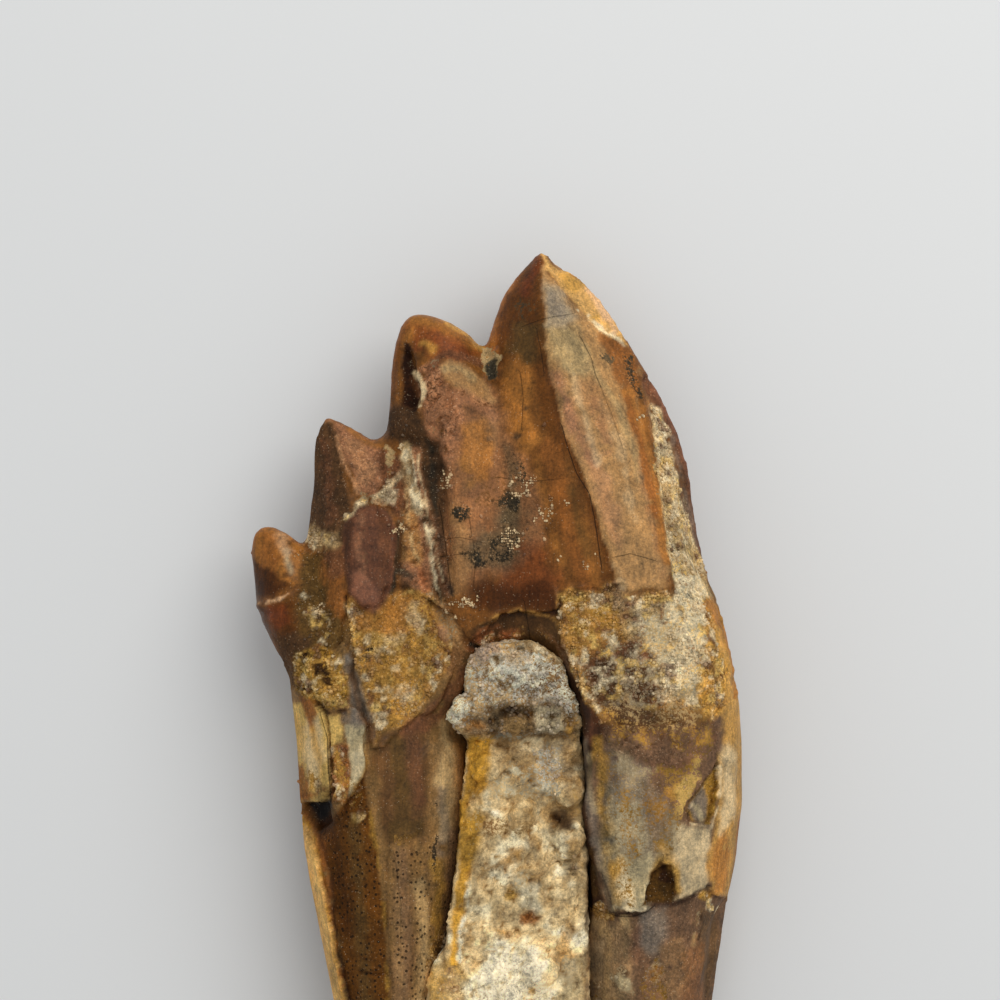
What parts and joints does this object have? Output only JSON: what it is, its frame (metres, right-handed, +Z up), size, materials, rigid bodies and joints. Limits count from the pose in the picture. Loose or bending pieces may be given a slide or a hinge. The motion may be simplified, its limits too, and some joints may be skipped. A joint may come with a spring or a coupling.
{
  "type": "fossil whale tooth",
  "caption": "Fossil cheek tooth of an early whale: a row of pointed cusps over a pair of roots, with crystalline matrix filling the fork between the roots.",
  "frame": {"origin": "centre of the box of the tooth as it lies on its side, at the surface that it lies on", "axes": "+Y towards the tip of the main cusp, away from the roots; +Z up, out of the side that is seen; +X towards the tooth's broken edge, away from the small cusps"},
  "size_m": [0.0492, 0.104, 0.019],
  "materials": {
    "tooth": "fossil enamel and dentine, brown and glossy on the crown, ochre and sandy on the crusts and roots",
    "matrix": "granular crystalline mineral, white-grey to yellow"
  },
  "bodies": {
    "root": {"tooth": "tooth", "matrix": "matrix"}
  },
  "joints": []
}
